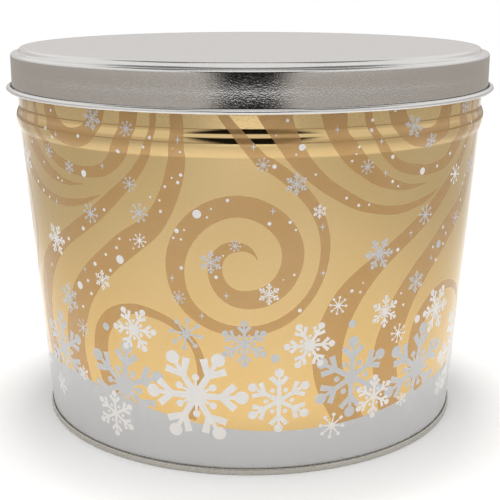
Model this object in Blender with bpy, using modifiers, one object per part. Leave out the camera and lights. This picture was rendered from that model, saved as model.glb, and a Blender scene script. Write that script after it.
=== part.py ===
"""Round cookie tin: a tapered three-piece sheet-metal tin with a slip-on lid.

Units are metres, +Z is up and the tin stands on z = 0 with its axis on Z. -Y is the front.
Every piece is pressed or rolled from one gauge of tinplate, so each one is a line through the
middle of its sheet, turned round the axis by a Screw modifier and given its gauge by Solidify.
"""

from math import asin, cos, degrees, radians, sin, sqrt

import bmesh
import bpy

# Driving dimensions
HEIGHT = 0.1913  # floor to the top of the lid
SHEET = 0.00026  # gauge of the tinplate
SEGMENTS = 56  # facets round every turned piece
FIT = 0.0003  # clearance between lid and body

# Lid
LID_SKIRT_RADIUS = 0.12265  # outside of the skirt
LID_CURL_RADIUS = 0.1254  # outside of the rolled edge, the widest place on the tin
LID_CURL_Z = 0.1713
LID_CURL_HALF_HEIGHT = 0.0013
LID_PANEL_RADIUS = 0.1183  # foot of the raised centre panel
LID_PANEL_RISE = 0.0025  # of the panel over the shoulder ring
LID_SHOULDER_BEND = 0.0016

# Body
NECK_RADIUS = 0.1197
BEAD_RADIUS = 0.1212
BEAD_TOP_Z = 0.1638  # where the neck starts to step out to the nesting bead
BEAD_CROWN_Z = 0.1573  # height of the bead's widest point
BEAD_UPPER_ROUND = 0.0081  # radius of the arc that rises from the crown
BEAD_LOWER_ROUND = 0.0106  # radius of the arc from the crown down to the crease
CREASE_Z = 0.1514  # where that arc meets the wall

# Double seam that joins the bottom end to the body
SEAM_RADIUS = 0.1105
SEAM_HEIGHT = 0.0030
SEAM_GAP = 0.00012  # between the folded layers

# Bottom end
END_RING_Z = 0.0034  # underside of the outer ring of the bottom end
END_PANEL_RISE = 0.0010  # of the centre panel over that ring
END_PANEL_RADIUS = 0.0960
END_STEP_RUN = 0.0018  # radial length of the slope between them
END_BEND = 0.0009

# Side seam, on the inside of the wall at the +X side
SIDE_SEAM_WIDTH = 0.0045
SIDE_SEAM_PROUD = 0.00045  # how far the flattened lock seam stands off the inside of the wall
SIDE_SEAM_BOTTOM_Z = 0.0062
SIDE_SEAM_TOP_Z = 0.1485

HALF_SHEET = SHEET / 2
SEAM_PITCH = SHEET + SEAM_GAP
SEAM_FOLD = SEAM_PITCH  # bend radius of a fold that skips one layer of the seam

# Middle radii of the five layers of the double seam, from inside to outside
CHUCK_WALL, WALL_FOOT, COVER_HOOK, BODY_HOOK, SEAM_WALL = (
    SEAM_RADIUS - HALF_SHEET - layer * SEAM_PITCH for layer in (4, 3, 2, 1, 0)
)

# A hollow arc and the arc that rises from the crown meet smoothly and make the step of the bead
STEP_RISE = BEAD_TOP_Z - BEAD_CROWN_Z
STEP_RUN = BEAD_RADIUS - NECK_RADIUS
STEP_ROUNDS = (STEP_RISE**2 + STEP_RUN**2) / (2 * STEP_RUN)  # sum of the two radii
HOLLOW_ROUND = STEP_ROUNDS - BEAD_UPPER_ROUND

# The wall is a straight cone from the crease down to just over the seam
BEAD_DROP = BEAD_CROWN_Z - CREASE_Z
WALL_TOP_RADIUS = BEAD_RADIUS - BEAD_LOWER_ROUND + sqrt(BEAD_LOWER_ROUND**2 - BEAD_DROP**2)
WALL_FOOT_Z = SEAM_HEIGHT + SHEET
WALL_TAPER = (WALL_TOP_RADIUS - WALL_FOOT - HALF_SHEET) / (CREASE_Z - WALL_FOOT_Z)


def arc(centre_r, centre_z, radius_r, radius_z, start, end, steps):
    """Points (r, z) on an ellipse's arc, angles in degrees from the outward direction."""
    angles = [radians(start + (end - start) * step / steps) for step in range(steps + 1)]
    return [(centre_r + radius_r * cos(a), centre_z + radius_z * sin(a)) for a in angles]


def bend(centre_r, centre_z, radius, start, end, steps=3):
    return arc(centre_r, centre_z, radius, radius, start, end, steps)


def lid_line():
    """From the centre of the lid out over the panel, down the skirt and round the curl."""
    top = HEIGHT - HALF_SHEET
    shoulder = top - LID_PANEL_RISE
    corner = LID_SHOULDER_BEND - HALF_SHEET
    skirt = LID_SKIRT_RADIUS - HALF_SHEET
    step_bend = LID_PANEL_RISE / 2
    step_r = LID_PANEL_RADIUS - step_bend
    roll = (LID_CURL_RADIUS - HALF_SHEET - skirt) / 2
    line = [(0, top)]
    line += bend(step_r - HALF_SHEET, top - step_bend, step_bend, 90, 20)
    line += bend(step_r + 2 * step_bend, shoulder + step_bend, step_bend, 200, 270)
    line += bend(skirt - corner, shoulder - corner, corner, 90, 0)
    line += arc(skirt + roll, LID_CURL_Z, roll, LID_CURL_HALF_HEIGHT - HALF_SHEET, 180, 460, 8)
    return line


def wall_radius(z):
    """Outside radius of the tapered wall."""
    return WALL_TOP_RADIUS - WALL_TAPER * (CREASE_Z - z)


def body_line():
    """From the free end of the rim's roll over the rim, down the wall and into the body hook."""
    neck = NECK_RADIUS - HALF_SHEET
    lid_inside = LID_SKIRT_RADIUS - SHEET
    upper, lower = BEAD_UPPER_ROUND, BEAD_LOWER_ROUND
    upper_turn = degrees(asin(STEP_RISE / STEP_ROUNDS))
    lower_turn = degrees(asin(BEAD_DROP / lower))
    roll = (lid_inside - FIT - HALF_SHEET - neck) / 2
    rim_z = HEIGHT - LID_PANEL_RISE - SHEET - FIT - HALF_SHEET - roll
    line = bend(neck + roll, rim_z, roll, -100, 180, 7)
    hollow = HOLLOW_ROUND + HALF_SHEET
    line += bend(neck + hollow, BEAD_TOP_Z, hollow, 180, 180 + upper_turn, 4)
    line += bend(BEAD_RADIUS - upper, BEAD_CROWN_Z, upper - HALF_SHEET, upper_turn, 0, 4)[1:]
    line += bend(BEAD_RADIUS - lower, BEAD_CROWN_Z, lower - HALF_SHEET, 0, -lower_turn, 4)[1:]
    line += [(WALL_FOOT, WALL_FOOT_Z)]
    fold_z = HALF_SHEET + SEAM_PITCH + SEAM_FOLD
    line += bend((WALL_FOOT + BODY_HOOK) / 2, fold_z, SEAM_FOLD, 180, 360, 4)
    line += [(BODY_HOOK, SEAM_HEIGHT - HALF_SHEET - SEAM_PITCH - SHEET)]
    return line


def bottom_line():
    """From the centre of the bottom end out to the chuck wall, then round the double seam."""
    ring = END_RING_Z + HALF_SHEET
    panel = ring + END_PANEL_RISE
    corner = 1.5 * SHEET
    fold_z = SEAM_HEIGHT - HALF_SHEET - SEAM_FOLD
    line = [(0, panel), (END_PANEL_RADIUS, panel), (END_PANEL_RADIUS + END_STEP_RUN, ring)]
    line += bend(CHUCK_WALL - END_BEND, ring - END_BEND, END_BEND, 90, 0)
    line += bend(CHUCK_WALL + corner, HALF_SHEET + corner, corner, 180, 270)
    line += bend(SEAM_WALL - corner, HALF_SHEET + corner, corner, 270, 360)
    line += bend((SEAM_WALL + COVER_HOOK) / 2, fold_z, SEAM_FOLD, 0, 180, 4)
    line += [(COVER_HOOK, 2 * SEAM_PITCH + 2 * SHEET)]
    return line


def material(name, colour, roughness, metallic):
    made = bpy.data.materials.new(name)
    made.use_nodes = True
    shader = made.node_tree.nodes["Principled BSDF"]
    shader.inputs["Base Color"].default_value = (*colour, 1)
    shader.inputs["Roughness"].default_value = roughness
    shader.inputs["Metallic"].default_value = metallic
    made.diffuse_color = (*colour, 1)
    return made


def turned_sheet(name, line, surface, collection):
    """A sheet piece: its middle line turned round Z, then thickened to the gauge."""
    mesh = bpy.data.meshes.new(name)
    shape = bmesh.new()
    corners = [shape.verts.new((r, 0, z)) for r, z in line]
    for first, second in zip(corners, corners[1:]):
        shape.edges.new((first, second))
    shape.to_mesh(mesh)
    shape.free()
    piece = bpy.data.objects.new(name, mesh)
    collection.objects.link(piece)
    mesh.materials.append(surface)

    turn = piece.modifiers.new("turn", "SCREW")
    turn.axis = "Z"
    turn.steps = turn.render_steps = SEGMENTS
    turn.use_merge_vertices = True
    turn.merge_threshold = 0.00001
    turn.use_smooth_shade = True
    gauge = piece.modifiers.new("gauge", "SOLIDIFY")
    gauge.thickness = SHEET
    gauge.offset = 0
    gauge.use_even_offset = True
    return piece


def add_side_seam(body, cutters):
    """Unites the body with the flattened lock seam on the inside of its wall, at +X."""
    middle_z = (SIDE_SEAM_TOP_Z + SIDE_SEAM_BOTTOM_Z) / 2
    embedded = SHEET / 4
    depth = SIDE_SEAM_PROUD + embedded
    inside = wall_radius(middle_z) - SHEET
    bpy.ops.mesh.primitive_cube_add(size=1)
    strip = bpy.context.object
    strip.name = "side_seam_strip"
    strip.scale = (depth, SIDE_SEAM_WIDTH, SIDE_SEAM_TOP_Z - SIDE_SEAM_BOTTOM_Z)
    bpy.ops.object.transform_apply(location=False, rotation=False, scale=True)
    strip.location = (inside + embedded - depth / 2, 0, middle_z)
    strip.rotation_euler.y = WALL_TAPER
    strip.hide_render = True
    strip.display_type = "WIRE"
    for owner in list(strip.users_collection):
        owner.objects.unlink(strip)
    cutters.objects.link(strip)
    union = body.modifiers.new("side seam", "BOOLEAN")
    union.operation = "UNION"
    union.solver = "EXACT"
    union.object = strip


def main():
    for obj in list(bpy.data.objects):
        bpy.data.objects.remove(obj)
    tin = bpy.data.collections.new("cookie_tin")
    cutters = bpy.data.collections.new("cutters")
    for collection in (tin, cutters):
        bpy.context.scene.collection.children.link(collection)

    bare = material("bare_tinplate", (0.70, 0.69, 0.67), 0.32, 1.0)
    printed = material("printed_tinplate", (0.83, 0.64, 0.32), 0.30, 1.0)
    base = material("base_tinplate", (0.66, 0.64, 0.60), 0.36, 1.0)

    turned_sheet("lid", lid_line(), bare, tin)
    body = turned_sheet("body_shell", body_line(), printed, tin)
    turned_sheet("bottom_end", bottom_line(), base, tin)
    add_side_seam(body, cutters)


main()
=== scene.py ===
"""Looks of the round cookie tin: fine sheet metal, its printed decoration, and a plain studio.

The metal pieces repeat the design's profiles with finer steps. The decoration is cut into the
body's outside as real outlines: it is laid out on a flat plane, PLANE_SCALE millimetres for each
degree round the tin and one millimetre for each millimetre of height, then wrapped round the wall.
"""

from math import cos, hypot, pi, radians, sin, sqrt

import bpy
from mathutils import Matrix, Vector
from mathutils.geometry import delaunay_2d_cdt


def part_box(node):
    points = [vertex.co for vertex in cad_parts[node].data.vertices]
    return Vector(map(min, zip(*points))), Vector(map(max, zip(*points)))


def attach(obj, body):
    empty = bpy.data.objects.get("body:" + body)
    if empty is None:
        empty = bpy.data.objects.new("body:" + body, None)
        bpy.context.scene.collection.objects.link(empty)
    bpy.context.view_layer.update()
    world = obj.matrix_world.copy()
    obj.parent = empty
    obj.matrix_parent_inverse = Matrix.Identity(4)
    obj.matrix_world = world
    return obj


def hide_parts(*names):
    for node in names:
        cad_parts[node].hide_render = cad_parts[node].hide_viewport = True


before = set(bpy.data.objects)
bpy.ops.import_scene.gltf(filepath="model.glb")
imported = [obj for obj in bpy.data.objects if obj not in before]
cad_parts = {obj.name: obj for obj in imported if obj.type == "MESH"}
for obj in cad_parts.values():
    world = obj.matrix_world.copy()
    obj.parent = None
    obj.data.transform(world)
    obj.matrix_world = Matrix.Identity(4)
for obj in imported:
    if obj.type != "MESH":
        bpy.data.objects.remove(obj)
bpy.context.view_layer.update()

MM = 0.001

# ---------------------------------------------------------------- sizes, in metres, as designed
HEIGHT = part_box("lid")[1].z  # top of the lid
SHEET = 0.00026  # gauge of the tinplate
HALF_SHEET = SHEET / 2
FIT = 0.0003  # clearance between lid and body

# Lid. Its curl is the rolled lower edge
LID_SKIRT_RADIUS = 0.12265
LID_CURL_RADIUS = 0.1254
LID_CURL_Z = 0.1713
LID_CURL_HALF_HEIGHT = 0.0013
LID_PANEL_RADIUS = 0.1183
LID_PANEL_RISE = 0.0025
LID_SHOULDER_BEND = 0.0016

# Body, outside. The bead runs from its top over its crown, its widest place, to the crease
NECK_RADIUS = 0.1197
BEAD_RADIUS = 0.1212
BEAD_TOP_Z = 0.1638
BEAD_CROWN_Z = 0.1573
BEAD_UPPER_ROUND = 0.0081  # radius of the arc that rises from the crown
BEAD_LOWER_ROUND = 0.0106  # radius of the arc from the crown down to the crease
CREASE_Z = 0.1514
CREASE_FILLET = 0.0001  # softens the corner where that arc meets the wall

# Double seam that joins the bottom end to the body
SEAM_RADIUS = 0.1105
SEAM_HEIGHT = 0.0030
SEAM_GAP = 0.00012  # between the folded layers
SEAM_PITCH = SHEET + SEAM_GAP
SEAM_FOLD = SEAM_PITCH

# Middle radii of the five layers of the double seam, from inside to outside
CHUCK_WALL, WALL_FOOT, COVER_HOOK, BODY_HOOK, SEAM_WALL = (
    SEAM_RADIUS - HALF_SHEET - layer * SEAM_PITCH for layer in (4, 3, 2, 1, 0)
)

# The bead's step out from the neck is a hollow arc and a rounded one that meet smoothly
STEP_RISE = BEAD_TOP_Z - BEAD_CROWN_Z
STEP_RUN = BEAD_RADIUS - NECK_RADIUS
STEP_ROUNDS = (STEP_RISE**2 + STEP_RUN**2) / (2 * STEP_RUN)
HOLLOW_ROUND = STEP_ROUNDS - BEAD_UPPER_ROUND
STEP_MEETING_Z = BEAD_CROWN_Z + BEAD_UPPER_ROUND * STEP_RISE / STEP_ROUNDS

# The wall is a straight cone from the crease down to just over the seam
BEAD_DROP = BEAD_CROWN_Z - CREASE_Z
WALL_TOP_RADIUS = BEAD_RADIUS - BEAD_LOWER_ROUND + sqrt(BEAD_LOWER_ROUND**2 - BEAD_DROP**2)
WALL_FOOT_Z = SEAM_HEIGHT + SHEET
WALL_TAPER = (WALL_TOP_RADIUS - WALL_FOOT - HALF_SHEET) / (CREASE_Z - WALL_FOOT_Z)

# Bottom end: the outer ring's underside, and the panel that stands a step above it
END_RING_Z = 0.0034
END_PANEL_RISE = 0.0010
END_PANEL_RADIUS = 0.0960
END_STEP_RUN = 0.0018
END_BEND = 0.0009

# The body's rolled rim, which the lid hides: the radius of its outside, the radius of the
# rolled sheet's middle line, and the height of the roll's centre
RIM_RADIUS = LID_SKIRT_RADIUS - SHEET - FIT
ROLL_MIDDLE_RADIUS = (RIM_RADIUS - NECK_RADIUS) / 2
RIM_Z = HEIGHT - LID_PANEL_RISE - SHEET - FIT - HALF_SHEET - ROLL_MIDDLE_RADIUS

# Side seam at +X: a bump inside the wall, and outside a fine groove down a bare margin
SIDE_SEAM_AZIMUTH = 90
SIDE_SEAM_HALF_WIDTH = 0.00225
SIDE_SEAM_PROUD = 0.00045
SIDE_SEAM_Z = (0.0062, 0.1485)
GROOVE_DEPTH = 0.00016
GROOVE_HALF_WIDTH = 0.0004
MARGIN_DEGREES = 1.5  # half of the bare margin

# Degrees between the body's columns of points, and from the seam to the extra ones beside it
COLUMN_STEP = 1.5
SEAM_COLUMNS = (0.09, 0.2, 0.98, 1.16)

PLANE_SCALE = 2.0  # millimetres of the plane for each degree
TRUE_RADIUS = PLANE_SCALE * 180 / pi  # millimetres, where the plane's widths are true


def body_columns():
    """Azimuths of the body's columns of points, from one side of the seam round to the other."""
    start = SIDE_SEAM_AZIMUTH - 360
    regular = [start + COLUMN_STEP * step for step in range(round(360 / COLUMN_STEP) + 1)]
    extra = [start + offset for offset in SEAM_COLUMNS]
    extra += [SIDE_SEAM_AZIMUTH - offset for offset in SEAM_COLUMNS]
    return sorted(regular + extra)


# ---------------------------------------------------------------- profiles
def arc(centre_r, centre_z, radius_r, radius_z, start, end, steps):
    """Points (r, z) on an ellipse's arc, angles in degrees from the outward direction."""
    angles = [radians(start + (end - start) * step / steps) for step in range(steps + 1)]
    return [(centre_r + radius_r * cos(a), centre_z + radius_z * sin(a)) for a in angles]


def bend(centre_r, centre_z, radius, start, end, steps=8):
    return arc(centre_r, centre_z, radius, radius, start, end, steps)


def eased(start, end, share):
    """From start to end as share goes from 0 to 1, level at both."""
    return start + (end - start) * (1 - cos(pi * min(max(share, 0), 1))) / 2


def outside_radius(z):
    """Outside radius of the body's neck, bead or wall."""
    if z >= BEAD_TOP_Z:
        return NECK_RADIUS
    if z >= STEP_MEETING_Z:
        return NECK_RADIUS + HOLLOW_ROUND - sqrt(HOLLOW_ROUND**2 - (BEAD_TOP_Z - z) ** 2)
    from_crown = z - BEAD_CROWN_Z
    if from_crown >= 0:
        return BEAD_RADIUS - BEAD_UPPER_ROUND + sqrt(BEAD_UPPER_ROUND**2 - from_crown**2)
    wall = WALL_TOP_RADIUS - WALL_TAPER * (CREASE_Z - z)
    if from_crown <= -BEAD_LOWER_ROUND:
        return wall
    bead = BEAD_RADIUS - BEAD_LOWER_ROUND + sqrt(BEAD_LOWER_ROUND**2 - from_crown**2)
    return (wall + bead + hypot(wall - bead, CREASE_FILLET)) / 2


def lid_line():
    """Middle of the lid's sheet, from its centre over the panel, down the skirt, round the curl."""
    top = HEIGHT - HALF_SHEET
    shoulder = top - LID_PANEL_RISE
    corner = LID_SHOULDER_BEND - HALF_SHEET
    skirt = LID_SKIRT_RADIUS - HALF_SHEET
    step_bend = LID_PANEL_RISE / 2
    step_r = LID_PANEL_RADIUS - step_bend
    roll = (LID_CURL_RADIUS - HALF_SHEET - skirt) / 2
    line = [(step_r * share, top) for share in (0, 0.2, 0.4, 0.6, 0.8, 0.95)]
    line += bend(step_r - HALF_SHEET, top - step_bend, step_bend, 90, 20)
    line += bend(step_r + 2 * step_bend, shoulder + step_bend, step_bend, 200, 270)
    line += bend(skirt - corner, shoulder - corner, corner, 90, 0, 12)
    line += [(skirt, (shoulder - corner + LID_CURL_Z) / 2)]
    line += arc(skirt + roll, LID_CURL_Z, roll, LID_CURL_HALF_HEIGHT - HALF_SHEET, 180, 460, 32)
    return line


def bottom_line():
    """Middle of the bottom end's sheet, from its centre out and round the double seam."""
    ring = END_RING_Z + HALF_SHEET
    panel = ring + END_PANEL_RISE
    corner = 1.5 * SHEET
    fold_z = SEAM_HEIGHT - HALF_SHEET - SEAM_FOLD
    line = [(END_PANEL_RADIUS * share, panel) for share in (0, 0.25, 0.5, 0.75, 0.97)]
    for share in (0, 0.125, 0.25, 0.375, 0.5, 0.625, 0.75, 0.875, 1):
        line.append((END_PANEL_RADIUS + END_STEP_RUN * share, eased(panel, ring, share)))
    line += bend(CHUCK_WALL - END_BEND, ring - END_BEND, END_BEND, 90, 0)
    line += bend(CHUCK_WALL + corner, HALF_SHEET + corner, corner, 180, 270)
    line += bend(SEAM_WALL - corner, HALF_SHEET + corner, corner, 270, 360)
    line += bend((SEAM_WALL + COVER_HOOK) / 2, fold_z, SEAM_FOLD, 0, 180)
    line += [(COVER_HOOK, 2 * SEAM_PITCH + 2 * SHEET)]
    return line


def body_rest():
    """The body's section apart from its printed outside, from the top of that to its foot.

    It runs round the rim's roll, down the inside of the wall and round the body hook.
    """
    roll_r = NECK_RADIUS - HALF_SHEET + ROLL_MIDDLE_RADIUS
    fold_r = (WALL_FOOT + BODY_HOOK) / 2
    fold_z = HALF_SHEET + SEAM_PITCH + SEAM_FOLD
    hook_top = SEAM_HEIGHT - HALF_SHEET - SEAM_PITCH - SHEET
    line = bend(roll_r, RIM_Z, ROLL_MIDDLE_RADIUS - HALF_SHEET, 180, -100, 20)
    line += bend(roll_r, RIM_Z, ROLL_MIDDLE_RADIUS + HALF_SHEET, -100, 180, 28)
    line += [(outside_radius(z) - SHEET, z) for z in inside_heights()]
    line += bend(fold_r, fold_z, SEAM_FOLD + HALF_SHEET, 180, 360)
    line += [(BODY_HOOK + HALF_SHEET, hook_top), (BODY_HOOK - HALF_SHEET, hook_top)]
    line += bend(fold_r, fold_z, SEAM_FOLD - HALF_SHEET, 360, 180)
    line += [(outside_radius(WALL_FOOT_Z), WALL_FOOT_Z)]
    return line


def inside_heights():
    """Heights of the rings of points inside the body, from the top down."""
    seam_low, seam_high = SIDE_SEAM_Z
    slope = 0.0008  # height over which the side seam's ends rise from the wall
    steps = 12
    heights = [0.1800, 0.1700, BEAD_TOP_Z, WALL_FOOT_Z]
    for step in range(1, steps + 1):
        heights.append(BEAD_TOP_Z + (BEAD_CROWN_Z - BEAD_TOP_Z) * step / steps)
        heights.append(BEAD_CROWN_Z + (CREASE_Z - BEAD_CROWN_Z) * step / steps)
    heights += [seam_high + slope, seam_high, seam_low, seam_low - slope]
    heights += [0.1200, 0.0900, 0.0600, 0.0300]
    return sorted(heights, reverse=True)


# ---------------------------------------------------------------- turned sheet pieces
def around(radius, z, azimuth):
    """Point at that azimuth: 0 is the front, -Y, and 90 is +X."""
    return (radius * sin(radians(azimuth)), -radius * cos(radians(azimuth)), z)


def both_sides(line):
    """Outline of a sheet whose middle is line: along one side of it and back along the other."""
    near, far = [], []
    for before, here, after in zip([line[0]] + line, line, line[1:] + [line[-1]]):
        run, rise = after[0] - before[0], after[1] - before[1]
        length = hypot(run, rise)
        across = (-rise / length * HALF_SHEET, run / length * HALF_SHEET)
        if here[0] == 0:
            across = (0, HALF_SHEET)
        near.append((here[0] - across[0], here[1] - across[1]))
        far.append((here[0] + across[0], here[1] + across[1]))
    return near + far[::-1]


def turned_sheet(name, line, surface):
    """A round sheet piece whose middle line starts on the axis."""
    columns = 288
    sharp_over = radians(50)
    outline = both_sides(line)
    points = [(0, 0, outline[0][1]), (0, 0, outline[-1][1])]
    rings = outline[1:-1]
    for radius, z in rings:
        points += [around(radius, z, 360 * column / columns) for column in range(columns)]
    faces = []
    for column in range(columns):
        following = (column + 1) % columns
        faces.append((0, 2 + following, 2 + column))
        last = 2 + (len(rings) - 1) * columns
        faces.append((1, last + column, last + following))
        for ring in range(len(rings) - 1):
            low = 2 + ring * columns
            high = low + columns
            faces.append((low + column, low + following, high + following, high + column))
    mesh = bpy.data.meshes.new(name)
    mesh.from_pydata(points, [], faces)
    mesh.materials.append(surface)
    mesh.shade_smooth()
    mesh.set_sharp_from_angle(angle=sharp_over)
    piece = bpy.data.objects.new(name, mesh)
    bpy.context.scene.collection.objects.link(piece)
    return piece


# ---------------------------------------------------------------- the decoration's shapes
REPEAT = 83  # degrees from one repeat of the swirls to the next
PRINT_TOP = 185.6  # millimetres, the lower edge of the bare margin under the rim
PRINT_FOOT = WALL_FOOT_Z / MM + 0.05  # millimetres, just over the body's lowest outside edge

# Where the snow bank's edge runs, (azimuth, height), over two repeats of the swirls
BANK_EDGE = (
    (-70, 35.5), (-60, 36.6), (-50, 36.6), (-41, 35), (-30, 31.3), (-20, 28), (-10, 24.7),
    (0, 22.8), (10, 22.2), (20, 22.7), (30, 24.2), (40, 26.4), (50, 29.6), (60, 31.5),
    (70, 32.6), (83, 34.2),
)

# The spiral about its own centre: (angle, radius, width), and the strand that leads into it
SPIRAL_CENTRE = (-0.5, 103)
SPIRAL_LEAD = ((-9.8, 187, 5), (-5.65, 170, 4.1), (-1.9, 160.5, 4.5))
SPIRAL = (
    (83, 47.3, 6.2), (62, 41.7, 5.7), (44, 38.8, 5.2), (3, 34, 4.3), (-24, 32, 3.8),
    (-48, 31, 4.3), (-88, 30.8, 4.7), (-120, 32.3, 5.4), (-147, 33.4, 6.8), (-175, 32.5, 8.7),
    (-214, 30, 9.9), (-262, 27.3, 9.8), (-295, 24.2, 9.8), (-335, 21.2, 9.9), (-379, 18, 9.5),
    (-425, 16.2, 9.1), (-450, 15.9, 8.7), (-481, 16, 7.6), (-528, 14.6, 6.4), (-571, 12.6, 5.6),
    (-602, 9.9, 4.7), (-622, 8.4, 3.3), (-655, 6.2, 1.4), (-688, 4.9, 0.1),
)

# The other strands' middles: (azimuth, height, width)
STRANDS = (
    (  # forks from the spiral's lead and ends in a point
        (1, 187, 15), (5, 170, 13.4), (7.35, 160, 10), (10.35, 150, 8.5), (15.2, 140, 6.6),
        (19, 134.6, 6.2), (23.7, 129.1, 5.4), (27.7, 126.2, 4.4), (31.8, 124.5, 4.2),
        (35.7, 124.1, 4), (40.5, 125.4, 3.3), (44, 127.3, 2.4), (48.5, 131, 0.1),
    ),
    (  # the next one out, wide at the top
        (16.4, 187, 12.5), (17.4, 170, 11.5), (18.4, 160, 9), (20.4, 154.5, 9), (22.5, 149.5, 9),
        (25.3, 144.6, 7.8), (28.5, 139.9, 6.6), (31.6, 136.9, 5.2), (35.4, 134.7, 3.5),
        (39, 134, 2), (43.8, 134.8, 0.1),
    ),
    (  # the outer hanging loop
        (24.6, 187, 3.8), (25.1, 170, 3.7), (25.8, 163.5, 3.8), (27.5, 157.5, 3.9),
        (29.6, 152, 4.3), (32.5, 146.5, 4.5), (35.4, 143.3, 4.8), (39, 141.6, 5.2),
        (43.5, 140.6, 4.9), (48.6, 142, 5.6), (51.3, 144.8, 6.4), (54, 151, 8), (56.2, 160, 7.9),
        (57.1, 170, 8.7), (57.3, 187, 9),
    ),
    (  # the inner hanging loop
        (31, 187, 9), (32.2, 172, 9.2), (33.6, 163.5, 9), (36.8, 157.9, 8.6), (41.3, 155.8, 8.8),
        (45.6, 158.1, 8.8), (47.9, 164, 8.8), (48.9, 172, 8.8), (50, 187, 8.8),
    ),
    (  # rises from the snow and thins towards the top
        (25.5, 20, 15.4), (22.6, 32, 15), (19.8, 42, 14.8), (18.3, 54, 14.8), (18.7, 66, 14.5),
        (20.2, 76, 14.5), (22.6, 85, 13.8), (26, 93, 11.6), (30, 99.8, 9), (34.5, 106, 7.8),
        (39.5, 112.4, 7.5), (46, 121, 7.3), (51.4, 130, 6.4), (56, 138.5, 5), (59.2, 146, 4.5),
        (61.3, 154, 3.8), (62.4, 161, 3), (62.8, 170, 3), (62.9, 187, 3),
    ),
    (  # the widest one, right of the last
        (37.5, 24, 14), (35.6, 38, 14.6), (34.4, 50, 15), (34.8, 60, 15.2), (36.7, 70, 14.8),
        (39.2, 80, 14.2), (43.3, 90, 13.2), (48.8, 100, 12.2), (55, 110, 12.2), (61.5, 120, 10),
        (65.6, 134, 8.6), (67.5, 147, 8), (68, 158, 6.2), (67.8, 170, 5.6), (67.4, 187, 5.4),
    ),
    (  # the arch that stands in the snow
        (48, 29, 8), (45.8, 41, 9), (44.3, 52, 9.2), (44.9, 62, 9.1), (46.8, 69, 8.3),
        (49.6, 74.5, 6.8), (53, 77.7, 5.6), (56.8, 78.9, 4.8), (61.5, 77.2, 4.1), (65, 74.2, 3.6),
        (67.8, 70.2, 3.6), (70, 65, 3.8), (71.3, 58.5, 4.2), (71.7, 50, 4), (70.8, 41, 4),
        (69, 27, 4),
    ),
)

# Six-arm flakes: (azimuth, height, reach, ink, degrees turned, whether the buds are on stems)
FLAKES = (
    (-32, 38.8, 23.3, "silver", -8, True), (-55.5, 46.3, 20.1, "silver", 0, False),
    (24.8, 45.8, 20.5, "silver", 0, False), (46.2, 40.8, 23.5, "silver", -8, True),
    (-12.8, 39.4, 24.5, "white", 30, True), (6.8, 37.7, 16.1, "white", 0, False),
    (-1.3, 66, 11.5, "silver", 0, False), (13.8, 64.2, 12.2, "white", 30, True),
    (-28, 68.5, 11.9, "white", 30, True), (53.2, 68.3, 12.5, "white", 30, True),
    (31.7, 33.3, 11.3, "white", 0, False), (-35.6, 22.5, 12, "white", 0, False),
    (33.2, 75.6, 8.1, "white", 0, True), (-49.7, 75.6, 7.9, "silver", 0, True),
    (-53, 103.8, 8.2, "white", 30, True), (30.2, 104.4, 7.9, "silver", 30, True),
    (-8.5, 104.4, 5.3, "silver", 0, False), (4.2, 89.8, 5.1, "white", 0, False),
    (9.7, 139.7, 5.1, "silver", 0, False), (-36.2, 90, 5, "white", 0, False),
    (42.7, 86.7, 5.6, "silver", 0, False), (-35.6, 165.2, 5.2, "silver", 15, False),
    (37.2, 161.6, 5.2, "silver", 15, False), (14.9, 127, 3.3, "white", 0, False),
    (-44, 141.5, 3.4, "silver", 0, False), (42.6, 154.2, 3.7, "silver", 15, False),
    (-67.8, 139, 8, "white", 0, True), (65.7, 136.2, 5, "silver", 0, False),
    (57.7, 166.6, 4, "silver", 15, False), (41.4, 27, 4, "white", 0, False),
    (-46.5, 38, 4, "white", 0, False), (61, 22.5, 6, "white", 0, False),
    (-60, 24, 6, "white", 15, False),
)

# Eight-arm stars: (azimuth, height, reach, ink)
STARS = (
    (-14.7, 69.7, 8.1, "silver"), (20.2, 22.3, 6.8, "white"), (20.3, 82.3, 4.6, "white"),
    (-16.1, 87, 3.4, "silver"), (-3.2, 112.3, 2.8, "silver"), (2.7, 148.4, 3.2, "silver"),
    (-26.5, 162.2, 3.5, "silver"), (-26.5, 137.6, 3.5, "silver"), (-24.6, 124.8, 4.6, "silver"),
    (-24.9, 112, 3.5, "white"), (-38.2, 121.3, 4.8, "silver"), (-51.9, 147.2, 3.5, "silver"),
    (-44.9, 62.5, 4.8, "silver"), (25.5, 145.5, 3.5, "silver"), (43.8, 119.1, 5, "silver"),
    (38, 62.9, 5, "white"), (55.3, 134.9, 5, "white"), (59, 112.2, 4, "silver"),
)

# A star's eight arms, from its middle to the middles of their balls, as shares of its reach
STAR_ARMS = (0.84, 0.86, 0.845, 0.86, 0.85, 0.86, 0.855, 0.86)
STAR_TURN = -8  # degrees

# Four-point glints: (azimuth, height)
GLINTS = (
    (0.7, 156.4), (18.1, 162.7), (-14.7, 158.8), (-17.4, 96), (4.8, 127.9), (15.7, 119.8),
    (16.3, 98.5), (-5.2, 89), (-10.8, 78.9), (-33.4, 144.5), (-41.9, 93.3), (28.1, 156.6),
    (30.2, 141.8), (39.2, 111.8), (47.9, 96.4), (-47, 155.9), (-55.1, 140.8), (-50.8, 123.1),
)

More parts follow.
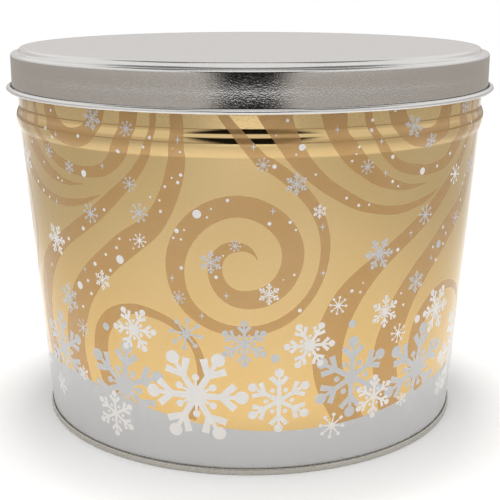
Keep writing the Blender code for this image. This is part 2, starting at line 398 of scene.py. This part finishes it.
# Round dots of snow: (azimuth, height, radius)
DOTS = (
    (5, 147.6, 1), (10.5, 155.9, 1.5), (9.4, 152.7, 0.5), (7.6, 167.2, 0.8), (5.3, 161, 0.4),
    (-20.8, 159.2, 0.8), (-22.3, 154.9, 0.7), (-14.3, 153.5, 0.6), (-15.8, 155.1, 0.3),
    (-14.5, 143.3, 0.8), (-16.5, 141.8, 0.5), (-15.2, 139.9, 0.8), (-18.1, 137.7, 0.7),
    (-21.6, 132.6, 0.6), (-19.5, 131.4, 0.6), (-19.4, 126.4, 0.8), (-4.7, 132.7, 0.8),
    (-11.3, 126.2, 2), (-8.2, 128.8, 0.5), (-9.1, 124.9, 0.5), (-15.9, 118.1, 1.1),
    (-14.2, 118.7, 0.5), (-16.7, 114.8, 0.6), (-15, 114.3, 0.6), (-15.2, 101.1, 0.9),
    (-5.8, 107.7, 0.5), (-7.4, 97.6, 0.9), (4.1, 122.3, 0.9), (8.5, 122.7, 0.8),
    (9.8, 119.2, 0.6), (9.7, 98.5, 0.6), (7.3, 96.4, 0.4), (13.7, 143.6, 0.6),
    (20.9, 132.2, 0.7), (23.9, 128.4, 0.8), (26.5, 128.2, 0.6), (22.8, 154.8, 0.7),
    (22.6, 151.6, 0.5), (21.7, 148.6, 0.6), (11.2, 81.5, 1), (23.5, 88.5, 0.9),
    (25.7, 87.4, 0.7), (26.3, 91.7, 0.5), (-28.8, 151.9, 1), (-39.2, 139.7, 1.6),
    (-39.2, 157, 0.9), (-48.7, 154.4, 0.8), (-51.2, 158, 0.9), (-49.7, 166.3, 0.8),
    (-48.9, 135.1, 0.7), (-47.4, 134.1, 0.6), (-54.1, 124.2, 0.7), (-57.2, 126.4, 0.9),
    (-60.2, 129.7, 0.9), (-61.4, 148.9, 0.8), (-33.9, 124.2, 0.8), (-41.1, 113.3, 1.1),
    (-30.2, 111.6, 0.7), (-27.3, 111.8, 0.5), (-26.6, 108, 0.5), (-31.2, 107.1, 0.8),
    (-34.5, 102.9, 0.8), (-30.5, 101.7, 2.1), (-47.1, 106.3, 1), (-38.2, 97.2, 1.1),
    (-33.5, 95.6, 0.9), (-41.2, 87.9, 0.9), (-40.4, 81.8, 0.9), (-44.4, 84.3, 2),
    (-44, 73.7, 0.9), (-57.5, 89, 0.9), (26.2, 165.9, 0.8), (25.9, 161.6, 0.9),
    (31.9, 169.5, 1), (31.8, 148.8, 1), (32.3, 137.6, 0.8), (34, 135.1, 0.6),
    (41.2, 140.3, 1.7), (46.4, 141.3, 0.8), (51.5, 145.9, 0.9), (59.6, 147.2, 0.8),
    (62.1, 132, 0.8), (61.2, 128.3, 0.8), (61, 120.2, 0.8), (60.4, 158.8, 0.8),
    (35.5, 104.9, 1), (52, 110, 0.9), (53.8, 106.4, 0.8), (53, 101.4, 0.8), (48.2, 101.8, 0.8),
    (50.2, 94.6, 0.8), (37.8, 82.9, 0.6), (38.9, 76.8, 0.8), (44.7, 67.1, 2.1),
)
SILVER_DOTS = ((5.8, 58.8, 2.1), (24.2, 72.5, 2), (-36.4, 66.9, 2), (50.7, 102.2, 2))

# What is listed runs from -70 to 70 degrees. It comes again two repeats away, and the
# stretches between are filled from its middle: (degrees moved, from azimuth, to azimuth)
PLACES = ((0, -70, 70), (-2 * REPEAT, -70, 70), (-3 * REPEAT, -21, 13))
PLACES += ((REPEAT, -13, 7), (-REPEAT, -13, 7))


def smooth(stations, steps):
    """Points on a Catmull-Rom curve through the stations, that many from each to the next."""
    stops = [Vector(station) for station in stations]
    stops = [2 * stops[0] - stops[1]] + stops + [2 * stops[-1] - stops[-2]]
    points = []
    for before, start, end, after in zip(stops, stops[1:], stops[2:], stops[3:]):
        bow = 2 * before - 5 * start + 4 * end - after
        twist = 3 * start - before - 3 * end + after
        for step in range(steps):
            t = step / steps
            points.append((2 * start + (end - before) * t + bow * t**2 + twist * t**3) / 2)
    points.append(stops[-2])
    return points


def ribbon(line):
    """Outline of a band along a line of (x, height, width) on the plane."""
    least_width = 0.05
    left, right = [], []
    for before, here, after in zip([line[0]] + line, line, line[1:] + [line[-1]]):
        along = (after - before).xy.normalized()
        side = Vector((-along.y, along.x)) * max(here.z, least_width) / 2
        left.append(here.xy + side)
        right.append(here.xy - side)
    return left + right[::-1]


def strand(stations, moved):
    return ribbon(smooth([(PLANE_SCALE * (a + moved), z, width) for a, z, width in stations], 4))


def spiral(moved):
    centre_a, centre_z = SPIRAL_CENTRE
    line = smooth([(PLANE_SCALE * (a + moved), z, width) for a, z, width in SPIRAL_LEAD], 3)[:-1]
    for angle, radius, width in smooth(SPIRAL, 5):
        x = PLANE_SCALE * (centre_a + moved) + radius * cos(radians(angle))
        line.append(Vector((x, centre_z + radius * sin(radians(angle)), width)))
    return ribbon(line)


def snow_bank():
    """Outline of the silver bank round the foot, right round the plane."""
    edge = []
    for turn in (-2, -1, 0, 1):
        edge += [(PLANE_SCALE * (a + 2 * turn * REPEAT), z) for a, z in BANK_EDGE]
    line = smooth(edge, 4)
    below = -5
    return [Vector((line[-1].x, below)), *line[::-1], Vector((line[0].x, below))]


def disc(x, y, radius, sides):
    turns = [2 * pi * side / sides for side in range(sides)]
    return [Vector((x + radius * cos(turn), y + radius * sin(turn))) for turn in turns]


def bar(start, end, start_width, end_width):
    """A straight bar that may widen along its length, with square ends."""
    start, end = Vector(start), Vector(end)
    along = (end - start).normalized()
    side = Vector((-along.y, along.x)) / 2
    return [
        start - side * start_width, end - side * end_width,
        end + side * end_width, start + side * start_width,
    ]


def turned(shapes, angle):
    """The shapes turned by that many degrees about (0, 0)."""
    c, s = cos(radians(angle)), sin(radians(angle))
    return [[Vector((c * p.x - s * p.y, s * p.x + c * p.y)) for p in shape] for shape in shapes]


def flake(reach, on_stems):
    """Six arms, each forked and tipped with a ball, and a small bud between each two arms.

    Its lengths and widths are shares of the reach, which is from its middle to its arms' tips.
    """
    ball = 0.135 * reach
    fork = 0.5 * reach
    prong = 0.34 * reach * sin(radians(45))
    sides = 16 if reach > 10 else 8
    arm = [
        bar((0, 0), (0, fork + 0.03 * reach), 0.145 * reach, 0.12 * reach),
        bar((0, fork), (0, reach - ball), 0.1 * reach, 0.075 * reach),
        disc(0, reach - ball, ball, sides),
    ]
    for hand in (-1, 1):
        root = (0.01 * hand * reach, fork - 0.02 * reach)
        tip = (hand * prong, fork + prong)
        arm.append(bar(root, tip, 0.11 * reach, 0.15 * reach))
    bud_at = 0.375 * reach
    bud = [disc(0, bud_at, 0.073 * reach, sides)]
    if on_stems:
        bud.append(bar((0, 0), (0, bud_at), 0.075 * reach, 0.045 * reach))
    shapes = [disc(0, 0, (0.17 if on_stems else 0.12) * reach, sides)]
    for turn in range(6):
        shapes += turned(arm, 60 * turn) + turned(bud, 60 * turn + 30)
    return shapes


def star(reach):
    """Eight thin arms with balls on their tips, of slightly uneven lengths."""
    shapes = [disc(0, 0, 0.14 * reach, 8)]
    for turn, share in enumerate(STAR_ARMS):
        tip = share * reach
        arm = [
            bar((0, 0), (0, tip), 0.16 * reach, 0.085 * reach),
            disc(0, tip, 0.145 * reach, 10 if reach > 4 else 8),
        ]
        shapes += turned(arm, 45 * turn)
    return shapes


def glint():
    """A four-point spark, taller than it is wide."""
    height = 2.1
    waist = 0.13 * height
    wide = 0.72 * height
    corners = (
        (0, height), (-waist, waist), (-wide, 0), (-waist, -waist),
        (0, -height), (waist, -waist), (wide, 0), (waist, waist),
    )
    return [[Vector(corner) for corner in corners], disc(0, 0, 0.3 * height, 8)]


def placed(shapes, azimuth, height):
    """The shapes moved to that place on the plane, so that they keep their shape on the wall."""
    widen = TRUE_RADIUS / (outside_radius(height * MM) / MM)
    return [
        [Vector((PLANE_SCALE * azimuth + p.x * widen, height + p.y)) for p in shape]
        for shape in shapes
    ]


def clipped(shape, low, high, axis):
    """The part of an outline between two values of x (axis 0) or height (axis 1)."""
    for limit, inward in ((low, 1), (high, -1)):
        kept = []
        for here, after in zip(shape, shape[1:] + shape[:1]):
            here_in = (here[axis] - limit) * inward
            after_in = (after[axis] - limit) * inward
            if here_in >= 0:
                kept.append(here)
            if here_in * after_in < 0:
                cut = here.lerp(after, here_in / (here_in - after_in))
                cut[axis] = limit
                kept.append(cut)
        shape = kept
    return shape


def decoration():
    """Every printed shape as (ink, outline), in the order in which they were printed."""
    shapes = []
    for turn in (-3, -2, -1, 0, 1):
        shapes.append(("tan", spiral(turn * REPEAT)))
        shapes += [("tan", strand(stations, turn * REPEAT)) for stations in STRANDS]
    shapes.append(("bank", snow_bank()))
    for moved, first, last in PLACES:

        def put(ink, azimuth, height, made):
            if first <= azimuth < last:
                shapes.extend((ink, shape) for shape in placed(made, azimuth + moved, height))

        for azimuth, height, reach, ink, spin, on_stems in FLAKES:
            put(ink, azimuth, height, turned(flake(reach, on_stems), spin))
        for azimuth, height, reach, ink in STARS:
            put(ink, azimuth, height, turned(star(reach), STAR_TURN))
        for azimuth, height in GLINTS:
            put("silver", azimuth, height, glint())
        for azimuth, height, radius in DOTS:
            sides = 14 if radius > 1.2 else 8
            put("white", azimuth, height, [disc(0, 0, radius, sides)])
        for azimuth, height, radius in SILVER_DOTS:
            put("silver", azimuth, height, [disc(0, 0, radius, 14)])
    edge = PLANE_SCALE * MARGIN_DEGREES
    low = PLANE_SCALE * (SIDE_SEAM_AZIMUTH - 360) + edge
    high = PLANE_SCALE * SIDE_SEAM_AZIMUTH - edge
    inside = []
    for ink, shape in shapes:
        shape = clipped(clipped(shape, low, high, 0), PRINT_FOOT, PRINT_TOP, 1)
        if len(shape) > 2:
            inside.append((ink, shape))
    return inside


# ---------------------------------------------------------------- the body
INKS = ("gold", "tan", "bank", "silver", "white", "bare")


def counter_clockwise(shape):
    twice_area = sum(a.x * b.y - b.x * a.y for a, b in zip(shape, shape[1:] + shape[:1]))
    return shape if twice_area > 0 else shape[::-1]


def row_heights():
    """Heights of the rows of points outside, in millimetres: (free rows, rows kept as edges)."""
    foot, top = WALL_FOOT_Z / MM, RIM_Z / MM
    below_crease = 0.0008
    bead_low, bead_high = (CREASE_Z - below_crease) / MM, BEAD_TOP_Z / MM
    bead_steps, wall_steps, neck_steps = 34, 48, 6
    kept = [bead_low + (bead_high - bead_low) * step / bead_steps for step in range(bead_steps + 1)]
    free = [foot + (bead_low - foot) * step / wall_steps for step in range(1, wall_steps)]
    free += [bead_high + (top - bead_high) * step / neck_steps for step in range(1, neck_steps)]
    return free, [foot, PRINT_FOOT, *kept, PRINT_TOP, top]


def cut_plane():
    """The plane cut along every printed outline: (points, triangles, ink of each triangle)."""
    columns = [PLANE_SCALE * azimuth for azimuth in body_columns()]
    free_rows, kept_rows = row_heights()
    foot, top = kept_rows[0], kept_rows[-1]
    points, edges = [], []
    for z in free_rows:
        points += [Vector((x, z)) for x in columns]
    for z in kept_rows:
        first = len(points)
        points += [Vector((x, z)) for x in columns]
        edges += [(first + step, first + step + 1) for step in range(len(columns) - 1)]
    left, right = columns[0], columns[-1]
    edge = PLANE_SCALE * MARGIN_DEGREES

    def box(x_low, x_high, z_low, z_high):
        corners = ((x_low, z_low), (x_high, z_low), (x_high, z_high), (x_low, z_high))
        return [Vector(corner) for corner in corners]

    layers = [("gold", box(left, right, foot, top))]
    layers += decoration()
    layers.append(("bare", box(left, left + edge, foot, top)))
    layers.append(("bare", box(right - edge, right, foot, top)))
    layers.append(("bare", box(left + edge, right - edge, PRINT_TOP, top)))
    outlines = []
    for ink, shape in layers:
        first = len(points)
        points += counter_clockwise(shape)
        outlines.append(list(range(first, len(points))))
    all_triangles, merge_distance, with_sources = 0, 1e-5, True
    made = delaunay_2d_cdt(points, edges, outlines, all_triangles, merge_distance, with_sources)
    cut_points, cut_triangles, layers_over = made[0], made[2], made[5]
    triangles, inks = [], []
    for triangle, over in zip(cut_triangles, layers_over):
        if 0 in over:
            triangles.append(triangle)
            inks.append(INKS.index(layers[max(over)][0]))
    return cut_points, triangles, inks


def groove(azimuth, z):
    """How far the outside dips in the line of the side seam."""
    away = abs(azimuth - SIDE_SEAM_AZIMUTH) % 360
    away = radians(min(away, 360 - away)) * NECK_RADIUS
    fade_height = 0.001
    fade = min(z - WALL_FOOT_Z, RIM_Z - z) / fade_height
    return eased(GROOVE_DEPTH, 0, away / GROOVE_HALF_WIDTH) * min(max(fade, 0), 1)


def seam_bump(azimuth, z):
    """How far the lock seam stands off the inside of the wall."""
    away = radians(abs(azimuth - SIDE_SEAM_AZIMUTH) % 360)
    away = min(away, 2 * pi - away) * outside_radius(z)
    low, high = SIDE_SEAM_Z
    if away > SIDE_SEAM_HALF_WIDTH or not low <= z <= high:
        return 0
    return SIDE_SEAM_PROUD


def outward(azimuth, z):
    """Direction that the outside of the wall faces."""
    near = 0.0001
    slope = (outside_radius(z + near) - outside_radius(z - near)) / (2 * near)
    return Vector(around(1, -slope, azimuth)).normalized()


def printed_body(surfaces):
    """The body: its printed outside, and the rim, inside and body hook turned on to it."""
    flat_points, triangles, inks = cut_plane()
    start = PLANE_SCALE * (SIDE_SEAM_AZIMUTH - 360)
    index_at, points, facing, index_of = {}, [], [], []
    for x, height in flat_points:
        key = (round((x - start) % (360 * PLANE_SCALE), 4), round(height, 4))
        if key not in index_at:
            index_at[key] = len(points)
            azimuth, z = x / PLANE_SCALE, height * MM
            points.append(around(outside_radius(z) - groove(azimuth, z), z, azimuth))
            facing.append(outward(azimuth, z))
        index_of.append(index_at[key])
    faces, surface_of = [], []
    for triangle, ink in zip(triangles, inks):
        corners = [index_of[corner] for corner in triangle]
        if len(set(corners)) == 3:
            faces.append(corners)
            surface_of.append(ink)

    columns = body_columns()[:-1]

    def row_at(height):
        keys = [round(PLANE_SCALE * azimuth - start, 4) for azimuth in columns]
        return [index_at[key, round(height / MM, 4)] for key in keys]

    rows = [row_at(RIM_Z)]
    for radius, z in body_rest()[1:-1]:
        first = len(points)
        for azimuth in columns:
            inner = radius - seam_bump(azimuth, z) if radius < outside_radius(z) else radius
            points.append(around(inner, z, azimuth))
            facing.append(Vector())  # left to the mesh's own smoothing
        rows.append(list(range(first, len(points))))
    rows.append(row_at(WALL_FOOT_Z))
    bare = INKS.index("bare")
    for low, high in zip(rows, rows[1:]):
        for column in range(len(columns)):
            following = (column + 1) % len(columns)
            faces.append((low[column], low[following], high[following], high[column]))
            surface_of.append(bare)

    sharp_over = radians(60)
    mesh = bpy.data.meshes.new("body")
    mesh.from_pydata(points, [], faces)
    for ink in INKS:
        mesh.materials.append(surfaces[ink])
    mesh.polygons.foreach_set("material_index", surface_of)
    mesh.shade_smooth()
    mesh.set_sharp_from_angle(angle=sharp_over)
    mesh.normals_split_custom_set_from_vertices(facing)
    body = bpy.data.objects.new("body", mesh)
    bpy.context.scene.collection.objects.link(body)
    return body


# ---------------------------------------------------------------- materials
USUAL_NOISE = (0.3, 0.7)  # where most of a noise texture's values lie
FOOT_SHADE_Z = (0.02, 0.14)  # heights between which the painted shade at the foot fades into the plain colour

# Sizes of the grains of noise in the sheet, in metres
FINE_GRAIN = 0.0006
BROAD_GRAIN = 0.035
GLOSS_GRAIN = 0.002
DIMPLE = 0.0006

LACQUER_ROUGHNESS = 0.12
GLOSS_CHANGE = (0.86, 1.16)  # the roughness varies between these shares of itself
BROAD_SHARE = 0.6  # of the grain, how much paler the broad noise makes the colour
DIRT = (0.05, 0.04, 0.03)
PALE = (1, 1, 1)


def noise(nodes, links, size, detail, distortion=0.0):
    """Noise over the object whose grains are about that many metres across."""
    place = nodes.new("ShaderNodeTexCoord")
    texture = nodes.new("ShaderNodeTexNoise")
    texture.inputs["Scale"].default_value = 1 / size
    texture.inputs["Detail"].default_value = detail
    texture.inputs["Distortion"].default_value = distortion
    links.new(place.outputs["Object"], texture.inputs["Vector"])
    return texture.outputs["Fac"]


def ranged(nodes, links, value, low, high, source=USUAL_NOISE):
    """A value of the source's range brought to low ... high."""
    node = nodes.new("ShaderNodeMapRange")
    node.inputs["From Min"].default_value = source[0]
    node.inputs["From Max"].default_value = source[1]
    node.inputs["To Min"].default_value = low
    node.inputs["To Max"].default_value = high
    links.new(value, node.inputs["Value"])
    return node.outputs["Result"]


def mixed(nodes, links, factor, first, second):
    """A mix of two colours, each a colour or a socket."""
    node = nodes.new("ShaderNodeMix")
    node.data_type = "RGBA"
    links.new(factor, node.inputs["Factor"])
    for name, colour in (("A", first), ("B", second)):
        socket = [s for s in node.inputs if s.name == name and s.type == "RGBA"][0]
        if isinstance(colour, tuple):
            socket.default_value = (*colour, 1)
        else:
            links.new(colour, socket)
    return [s for s in node.outputs if s.type == "RGBA"][0]


def sheet_metal(name, colour, shaded_foot_colour, metallic, roughness, grain, peel, coat=0.0):
    """A coated or bare sheet surface.

    shaded_foot_colour is painted shade: the darker colour of the lower wall, which fades into
    colour going up. grain is how much the colour varies, peel is the depth in metres of the fine
    dimples of rolled tinplate, and coat is the weight of the clear lacquer over it.
    """
    made = bpy.data.materials.new(name)
    made.use_nodes = True
    nodes, links = made.node_tree.nodes, made.node_tree.links
    shader = nodes["Principled BSDF"]
    shader.inputs["Metallic"].default_value = metallic
    shader.inputs["Coat Weight"].default_value = coat
    shader.inputs["Coat Roughness"].default_value = LACQUER_ROUGHNESS

    place = nodes.new("ShaderNodeTexCoord")
    split = nodes.new("ShaderNodeSeparateXYZ")
    links.new(place.outputs["Object"], split.inputs["Vector"])
    # painted shade: the colour is darker towards the foot of the tin and fades out going up
    foot_shade_fade = ranged(nodes, links, split.outputs["Z"], 0, 1, FOOT_SHADE_Z)
    base = mixed(nodes, links, foot_shade_fade, shaded_foot_colour, colour)
    fine = noise(nodes, links, FINE_GRAIN, detail=3)
    broad = noise(nodes, links, BROAD_GRAIN, detail=2)
    darker = mixed(nodes, links, ranged(nodes, links, fine, 0, grain), base, DIRT)
    paler = ranged(nodes, links, broad, 0, grain * BROAD_SHARE)
    links.new(mixed(nodes, links, paler, darker, PALE), shader.inputs["Base Color"])

    rolled = noise(nodes, links, GLOSS_GRAIN, detail=3)
    smoothest, roughest = (roughness * share for share in GLOSS_CHANGE)
    gloss = ranged(nodes, links, rolled, smoothest, roughest)
    links.new(gloss, shader.inputs["Roughness"])

    dimples = noise(nodes, links, DIMPLE, detail=1.5, distortion=0.3)
    bump = nodes.new("ShaderNodeBump")
    bump.inputs["Distance"].default_value = peel
    links.new(dimples, bump.inputs["Height"])
    links.new(bump.outputs["Normal"], shader.inputs["Normal"])
    return made


def make_surfaces():
    """The materials by name."""
    bright, rough = (0.78, 0.77, 0.75), (0.72, 0.71, 0.69)
    # The bottom end's darker, warmer colour is painted shade of the seam down by the floor; its
    # greater roughness is scuffing
    shaded_seam = (0.54, 0.515, 0.46)
    return {
        "tinplate": sheet_metal(
            "bright_tinplate", bright, bright,
            metallic=1.0, roughness=0.10, grain=0.08, peel=0.00003,
        ),
        "base": sheet_metal(
            "base_tinplate", shaded_seam, shaded_seam,
            metallic=1.0, roughness=0.26, grain=0.14, peel=0.00004,
        ),
        "bare": sheet_metal(
            "bare_tinplate", rough, rough,
            metallic=1.0, roughness=0.28, grain=0.10, peel=0.00004,
        ),
        # Each ink's second colour is painted shade, darker towards the foot of the tin
        "gold": sheet_metal(
            "gold_lacquer", (0.72, 0.515, 0.24), (0.74, 0.50, 0.20),
            metallic=1.0, roughness=0.08, grain=0.06, peel=0.000006,
        ),
        "tan": sheet_metal(
            "tan_ink", (0.57, 0.34, 0.125), (0.59, 0.34, 0.11),
            metallic=0.45, roughness=0.15, grain=0.06, peel=0.000006, coat=0.1,
        ),
        "bank": sheet_metal(
            "snow_bank_ink", (0.60, 0.60, 0.60), (0.59, 0.59, 0.59),
            metallic=0.35, roughness=0.36, grain=0.05, peel=0.00002, coat=0.1,
        ),
        "silver": sheet_metal(
            "silver_ink", (0.63, 0.64, 0.66), (0.61, 0.61, 0.61),
            metallic=0.2, roughness=0.34, grain=0.05, peel=0.00002, coat=0.15,
        ),
        "white": sheet_metal(
            "white_ink", (0.92, 0.91, 0.90), (0.87, 0.84, 0.80),
            metallic=0.0, roughness=0.34, grain=0.03, peel=0.00002, coat=0.15,
        ),
    }


# ---------------------------------------------------------------- studio
FLOOR_COLOUR = (0.95, 0.95, 0.95)
FLOOR_RADIUS = 1.54
FLOOR_ROUGHNESS = 0.9
FLOOR_SHINE = 0.1
BACKDROP = 1.0  # brightness of the pale backdrop beyond the floor

# The room round the tin, from below the horizon to straight overhead
HORIZON, MIDDLE = (0.42, 0.385, 0.35), (0.70, 0.68, 0.67)
UPPER, OVERHEAD = (0.92, 0.92, 0.92), (0.24, 0.24, 0.24)

# Where each of those turns into the next, as the height of a direction of length one
TO_MIDDLE, TO_UPPER, TO_OVERHEAD = (-0.05, 0.05), (0.15, 0.35), (0.70, 0.85)

# The dark strip of room behind the camera: degrees each side where it starts and is fully dark,
# radians that it widens each side for each unit of height, and the heights where it ends
DARK = (0.012, 0.011, 0.010)
DARK_HALF_ANGLES = (24, 10)
DARK_WIDENING = 0.6
DARK_END = (0.45, 0.55)

# Softboxes, which shine straight down: (name, place, size, power, spread in degrees)
SOFTBOXES = (
    ("near_softbox", (0, -0.20, 0.60), (0.64, 0.40), 0.42, 64),
    ("front_softbox", (0, -1.20, 1.20), (0.60, 1.10), 1.35, 36),
    ("back_softbox", (0, 0.34, 1.30), (0.36, 0.70), 0.95, 34),
    ("far_softbox", (0, 1.15, 1.30), (1.15, 0.90), 2.6, 44),
)

CAMERA_PLACE = (0, -0.5644, 0.2272)
CAMERA_LOOKS_DOWN = 14.61  # degrees
LENS, SENSOR = 76.55, 36  # millimetres


def make_floor():
    sides = 128
    rim = [around(FLOOR_RADIUS, 0, 360 * side / sides) for side in range(sides)]
    mesh = bpy.data.meshes.new("floor")
    mesh.from_pydata(rim, [], [range(sides)])
    matt = bpy.data.materials.new("floor")
    matt.use_nodes = True
    shader = matt.node_tree.nodes["Principled BSDF"]
    shader.inputs["Base Color"].default_value = (*FLOOR_COLOUR, 1)
    shader.inputs["Roughness"].default_value = FLOOR_ROUGHNESS
    shader.inputs["Specular IOR Level"].default_value = FLOOR_SHINE
    mesh.materials.append(matt)
    floor = bpy.data.objects.new("floor", mesh)
    bpy.context.scene.collection.objects.link(floor)


def softbox(name, place, size, power, spread):
    """A lamp that shines straight down, its light held to a cone of spread degrees by a grid.

    Reflections don't show it, so that it lights the scene but leaves no hard edge in the metal.
    """
    lamp = bpy.data.lights.new(name, "AREA")
    lamp.shape = "RECTANGLE"
    lamp.size, lamp.size_y = size
    lamp.energy = power
    lamp.spread = radians(spread)
    light = bpy.data.objects.new(name, lamp)
    light.location = place
    light.visible_glossy = False
    bpy.context.scene.collection.objects.link(light)


def studio_walls():
    """The room that lights the tin and that its metal reflects; the camera sees a pale backdrop.

    It is dim under the horizon and overhead and bright between, with a dark strip behind the
    camera.
    """
    world = bpy.data.worlds.new("studio")
    world.use_nodes = True
    nodes, links = world.node_tree.nodes, world.node_tree.links
    background = nodes["Background"]
    place = nodes.new("ShaderNodeTexCoord")
    split = nodes.new("ShaderNodeSeparateXYZ")
    links.new(place.outputs["Generated"], split.inputs["Vector"])
    up = split.outputs["Z"]
    turn = nodes.new("ShaderNodeMath")
    turn.operation = "ARCTAN2"
    links.new(split.outputs["X"], turn.inputs[0])
    links.new(split.outputs["Y"], turn.inputs[1])
    from_back = nodes.new("ShaderNodeMath")
    from_back.operation = "ABSOLUTE"
    links.new(turn.outputs["Value"], from_back.inputs[0])

    def soft_step(value, start, end):
        node = nodes.new("ShaderNodeMapRange")
        node.interpolation_type = "SMOOTHSTEP"
        node.inputs["From Min"].default_value = start
        node.inputs["From Max"].default_value = end
        links.new(value, node.inputs["Value"])
        return node.outputs["Result"]

    room = mixed(nodes, links, soft_step(up, *TO_MIDDLE), HORIZON, MIDDLE)
    room = mixed(nodes, links, soft_step(up, *TO_UPPER), room, UPPER)
    room = mixed(nodes, links, soft_step(up, *TO_OVERHEAD), room, OVERHEAD)
    widened = nodes.new("ShaderNodeMath")
    widened.operation = "MULTIPLY_ADD"
    widened.inputs[1].default_value = DARK_WIDENING
    links.new(up, widened.inputs[0])
    links.new(from_back.outputs["Value"], widened.inputs[2])
    edge, full = (radians(180 - angle) for angle in DARK_HALF_ANGLES)
    in_front = soft_step(widened.outputs["Value"], edge, full)
    behind_camera = mixed(nodes, links, soft_step(up, *DARK_END), DARK, UPPER)
    room = mixed(nodes, links, in_front, room, behind_camera)
    seen = nodes.new("ShaderNodeLightPath").outputs["Is Camera Ray"]
    room = mixed(nodes, links, seen, room, (BACKDROP,) * 3)
    links.new(room, background.inputs["Color"])
    bpy.context.scene.world = world


def make_camera():
    lens = bpy.data.cameras.new("camera")
    lens.lens = LENS
    lens.sensor_width = SENSOR
    camera = bpy.data.objects.new("camera", lens)
    camera.location = CAMERA_PLACE
    camera.rotation_euler = (radians(90 - CAMERA_LOOKS_DOWN), 0, 0)
    bpy.context.scene.collection.objects.link(camera)
    bpy.context.scene.camera = camera


# ---------------------------------------------------------------- the scene
make_camera()
make_floor()
studio_walls()
for box in SOFTBOXES:
    softbox(*box)
bpy.context.scene.view_settings.view_transform = "Standard"

surfaces = make_surfaces()
lid = turned_sheet("lid_sheet", lid_line(), surfaces["tinplate"])
bottom = turned_sheet("bottom_sheet", bottom_line(), surfaces["base"])
body = printed_body(surfaces)

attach(lid, "lid")
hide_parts("lid")
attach(body, "tin")
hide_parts("body_shell")
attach(bottom, "tin")
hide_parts("bottom_end")
